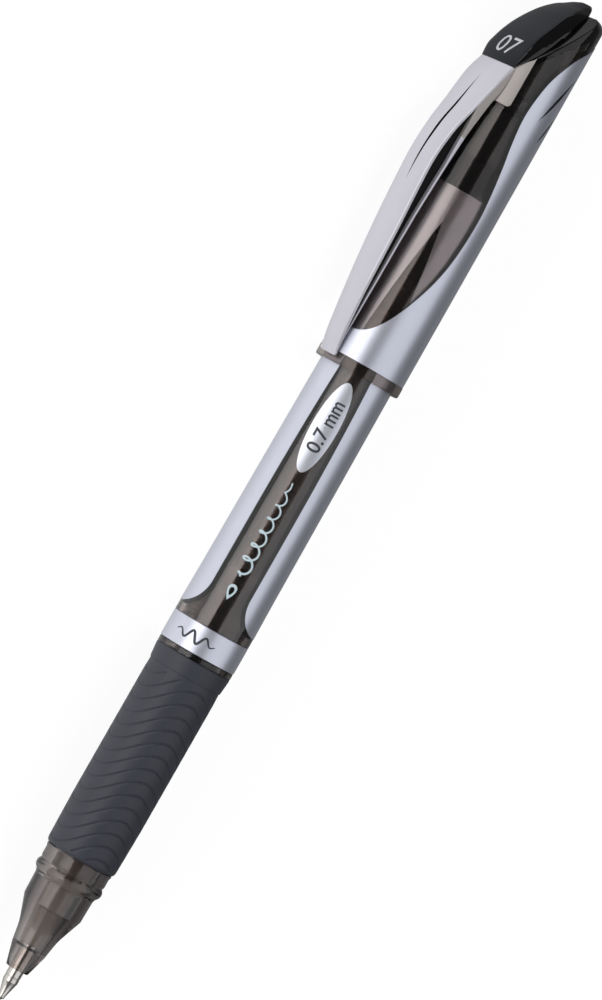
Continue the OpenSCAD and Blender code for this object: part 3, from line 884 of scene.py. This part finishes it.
def make_clip():
    """Springy clip: a crowned blade with bevelled edges, a groove down each side and a long
    engraved line on top, both with painted shade, the lip with painted shade near the clip's
    root, and a bead under its free end."""
    heights = [tuple(p) for p in smooth([(z, h) for z, h, half in clip_rows], 6)]
    halves = [tuple(p) for p in smooth([(z, half) for z, h, half in clip_rows], 6)]
    stations = [clip_front_z + (clip_back_z - clip_front_z) * k / clip_rings
        for k in range(clip_rings + 1)]
    bm = bmesh.new()
    rings = []
    for blunt, inset in ((-0.22, 0.3), (-0.16, 0.14), (-0.06, 0.04)):
        front_h = along(heights, clip_front_z)
        ring = clip_section(clip_front_z, front_h, along(halves, clip_front_z))
        middle = (front_h + along(clip_under, clip_front_z)) / 2
        rings.append((clip_front_z + blunt,
            [(side * (1 - inset * 0.5), middle + (h - middle) * (1 - inset)) for side, h in ring]))
    rings += [(z, clip_section(z, along(heights, z), along(halves, z))) for z in stations]
    loops = []
    for station, half_ring in rings:
        ring = half_ring + [(-side, h) for side, h in reversed(half_ring[1:-1])]
        loops.append([bm.verts.new(place(station, h, side)) for side, h in ring])
    count = len(loops[0])
    for (station, ring), a, b in zip(rings, loops, loops[1:]):
        # Beyond lip_shade_z the lip gets the cheeks' painted shade
        lip_plain_or_painted_shade = 2 if station > lip_shade_z else 0
        for k in range(count):
            n = (k + 1) % count
            face = bm.faces.new((a[k], a[n], b[n], b[k]))
            step = min(k, count - 1 - k)
            # The engraved line and the side grooves get painted shade
            if step in shaded_steps:
                face.material_index = 1
            elif step > shaded_steps[-1]:
                face.material_index = lip_plain_or_painted_shade
    bm.faces.new(loops[0])
    bm.faces.new(loops[-1])
    add_clip_bead(bm)
    bmesh.ops.recalc_face_normals(bm, faces=bm.faces)
    piece = finished("silver_clip", bm, [silver_lacquer, groove_painted_shade, cheek_painted_shade],
        replaces=["clip_arm", "clip_root"], crease=24)
    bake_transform(piece)


def add_clip_bead(bm):
    """The bead that grips a pocket, under the clip's free end."""
    centre, reach = (102.3, 6.85), (2.5, 0.46, 1.55)
    rows, sides = 12, 28
    rings = []
    for i in range(rows + 1):
        a = math.pi * i / rows
        if i in (0, rows):
            rings.append([bm.verts.new(place(centre[0] - reach[0] * math.cos(a), centre[1], 0))])
            continue
        rings.append([bm.verts.new(place(centre[0] - reach[0] * math.cos(a),
            centre[1] + reach[1] * math.sin(a) ** 0.7 * math.cos(2 * math.pi * k / sides),
            reach[2] * math.sin(a) ** 0.7 * math.sin(2 * math.pi * k / sides)))
            for k in range(sides)])
    for a, b in joined(rings):
        for k in range(sides):
            n = (k + 1) % sides
            corners = [a[k], a[n], b[n], b[k]] if len(a) > 1 and len(b) > 1 else (
                [a[0], b[n], b[k]] if len(b) > 1 else [a[k], a[n], b[0]])
            bm.faces.new(corners)


def make_cheeks():
    """The clip's two cheeks, wrapped round the cap under its root."""
    front, back, corner = 136.7, 144.25, 0.6
    top_turn, low_turn = 29, 50
    seat_r, thickness = 6.02, 0.4
    cheek_r = rim_r + 0.1
    for name, sign in (("near", 1), ("far", -1)):
        rows = []
        for k in range(33):
            station = front + (back - front) * (k / 32) ** 1.5
            share = max(0, 1 - (station - front) / corner)
            trim = corner * (1 - math.sqrt(1 - share * share))
            bottom = low_turn - math.degrees(trim / cheek_r)
            high = math.degrees(math.acos(min(1, (slope(station) - 0.02) / cheek_r)))
            upper = min(max(top_turn, high), bottom - 0.05)
            rows.append([(station, sign * (upper + (bottom - upper) * c / 10)) for c in range(11)])
        # The cheeks get painted shade: the clip's lacquer made duller and warmer
        finished(f"clip_cheek_{name}", skin(rows, lambda s, t, lift:
            around(s, seat_r + lift, t), thickness), cheek_painted_shade, "cap")


# ---- Head ----

head_rows = [(141.62, 5.84, 3.56), (143.4, 5.53, 4.44), (144.7, 5.12, 4.67), (146.1, 4.63, 4.78),
    (147.4, 4.0, 4.71), (148.7, 3.23, 4.52), (150.1, 2.32, 4.14), (151.4, 1.34, 3.65),
    (152.7, 0, 3.09), (153.4, -1, 2.57), (154.1, -1.9, 1.9), (154.58, -2.62, 1.05)]
head_crown = 0.4
head_bevel = 0.28
head_bevel_steep = 1.2
head_top_steps = 5               # steps of the section, from its middle, that have the satin finish
head_heights = [tuple(p) for p in smooth([(z, h) for z, h, half in head_rows], 8)]
head_halves = [tuple(p) for p in smooth([(z, half) for z, h, half in head_rows], 8)]


def head_top(station, side):
    """Height of the head's crowned top."""
    half = along(head_halves, station)
    return along(head_heights, station) + head_crown * (1 - min(1, abs(side) / half) ** 2)


def on_head(x, y, lift):
    """A place on the head's top, just sunk into it; x runs across and y is the station."""
    return place(y, head_top(y, x) + lift - 0.005, x)


def make_head():
    """Black head on the sloping end: a crowned satin top over polished side walls."""
    bm = bmesh.new()
    loops = []
    for station, corner_h in head_heights:
        half = along(head_halves, station)
        bottom = min(slope(station) + 0.01, corner_h - 0.05)
        wall = corner_h - bottom
        drop = min(head_bevel * half, 0.7 * wall)
        edge = half - drop / head_bevel_steep
        half_ring = [(edge * s, head_top(station, edge * s)) for s in (0, 0.25, 0.5, 0.7, 0.86, 1)]
        soft = min(0.12, 0.1 * wall)
        half_ring += [(edge + soft, head_top(station, edge) - soft * 0.7),
            (half - soft * 0.5, corner_h - drop + soft * 0.6), (half, corner_h - drop - soft),
            (half, bottom + soft), (half - soft * 0.5, bottom), (half * 0.5, bottom), (0, bottom)]
        ring = half_ring + [(-side, h) for side, h in reversed(half_ring[1:-1])]
        loops.append([bm.verts.new(place(station, h, side)) for side, h in ring])
    count = len(loops[0])
    for a, b in joined(loops):
        for k in range(count):
            n = (k + 1) % count
            face = bm.faces.new((a[k], a[n], b[n], b[k]))
            if head_top_steps <= k < count - head_top_steps:
                face.material_index = 1
    bm.faces.new(loops[0])
    bm.faces.new(loops[-1])
    bmesh.ops.recalc_face_normals(bm, faces=bm.faces)
    finished("black_head", bm, [head_black, gloss_black], "cap", ["clip_head"])


# ---- Putting it together ----

def finish_cad_nodes():
    """The ball, the refill's inner pieces and the liner keep their CAD shape and get a finish."""
    finishes = {"ball": carbide, "point_spring": spring_wire, "ink_tube": tube_clear,
        "ink_follower": grease_amber, "refill_tail": tail_grey,
        "inner_cap": liner_black}
    for name, material in finishes.items():
        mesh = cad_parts[name].data
        mesh.materials.clear()
        mesh.materials.append(material)


def add_floor():
    """A wide pale floor that glows: white to the eye, and set apart for matt and polished surfaces.

    To those it glows as a fill, with a painted shadow behind the pen and painted shade far out
    on the clip's side, which shapes the reflections in the silver. It is not a plain floor in that
    respect.
    """
    material = bpy.data.materials.new("pale_floor")
    material.use_nodes = True
    tree = material.node_tree
    tree.nodes.clear()
    rays = add_node(tree, "LightPath")
    spot = add_node(tree, "SeparateXYZ", {"Vector": add_node(tree, "TexCoord").outputs["Object"]})
    # Painted shadow of the pen on the floor, seen by matt and polished surfaces
    behind = add_node(tree, "MapRange", {"Value": spot.outputs["Y"], "From Min": shadow_from,
        "From Max": shadow_to, "To Min": 1.0, "To Max": floor_in_shadow})
    # Painted shade far out on the clip's side, seen by polished surfaces
    distant = add_node(tree, "MapRange", {"Value": spot.outputs["Y"], "From Min": far_shade_from,
        "From Max": far_shade_to, "To Min": floor_in_far_shade, "To Max": 1.0})
    painted_floor_shade = add_node(tree, "Math", {0: behind.outputs["Result"], 1: distant.outputs["Result"]},
        operation="MULTIPLY")
    bounce = add_node(tree, "Math", {0: behind.outputs["Result"], 1: floor_bounce},
        operation="MULTIPLY")
    mirror = add_node(tree, "Math", {0: painted_floor_shade.outputs[0], 1: floor_mirror},
        operation="MULTIPLY")
    white = linear("#ffffff")
    paint = add_node(tree, "BsdfDiffuse", {"Color": linear("#6a6a6a")})
    glow = add_node(tree, "Emission", {"Color": white, "Strength": floor_glow})
    lit = add_node(tree, "AddShader", {0: paint.outputs[0], 1: glow.outputs[0]})
    soft = add_node(tree, "Emission", {"Color": white, "Strength": bounce.outputs[0]})
    seen = add_node(tree, "Emission", {"Color": white, "Strength": mirror.outputs[0]})
    first = add_node(tree, "MixShader", {0: rays.outputs["Is Diffuse Ray"], 1: lit.outputs[0],
        2: soft.outputs[0]})
    mixed = add_node(tree, "MixShader", {0: rays.outputs["Is Glossy Ray"], 1: first.outputs[0],
        2: seen.outputs[0]})
    add_node(tree, "OutputMaterial", {"Surface": mixed.outputs[0]})
    bm = bmesh.new()
    corners = [bm.verts.new((x * floor_reach, y * floor_reach, -floor_drop))
        for x, y in ((-1, -1), (1, -1), (1, 1), (-1, 1))]
    bm.faces.new(corners)
    mesh = bpy.data.meshes.new("floor")
    bm.to_mesh(mesh)
    bm.free()
    mesh.materials.append(material)
    floor = bpy.data.objects.new("floor", mesh)
    bpy.context.scene.collection.objects.link(floor)


def add_world():
    """Dim room light, pale where the camera sees past the floor."""
    world = bpy.data.worlds.new("studio")
    world.use_nodes = True
    tree = world.node_tree
    tree.nodes.clear()
    rays = add_node(tree, "LightPath")
    strength = add_node(tree, "MapRange", {"Value": rays.outputs["Is Camera Ray"],
        "To Min": 0.1, "To Max": 1.0})
    room = add_node(tree, "Background", {"Color": linear("#f4f5f8"),
        "Strength": strength.outputs["Result"]})
    add_node(tree, "OutputWorld", {"Surface": room.outputs["Background"]})
    bpy.context.scene.world = world


add_camera()
add_world()
add_softbox("clip_side_softbox", 18, 1.0, (1.7, 0.7), 1.9, (1.0, 0.985, 0.975))
add_softbox("top_softbox", 104, 1.0, (1.7, 1.3), 0.76, (0.97, 0.98, 1.0))
add_floor()
bpy.context.scene.view_settings.view_transform = "Standard"

make_metal_point()
make_point_holder()
make_ink()
make_nose()
make_grip()
make_barrel()
make_band()
make_band_wave()
make_barrel_foil()
make_label()
make_window_print()
make_end_plug()
make_cap()
make_cap_foil()
make_clip()
make_cheeks()
make_head()
printed("size_numerals", "0.7", 1.98, 3.3, (84.2, -0.99), on_label, charcoal_ink,
    "barrel", 0.012)
printed("size_unit", "mm", 1.34, 3.5, (88.2, -0.99), on_label, charcoal_ink,
    "barrel", 0.012)
printed("head_numerals", "07", 2.68, 3.7, (-1.75, 142.9), on_head, pale_grey_ink,
    "cap")
finish_cad_nodes()
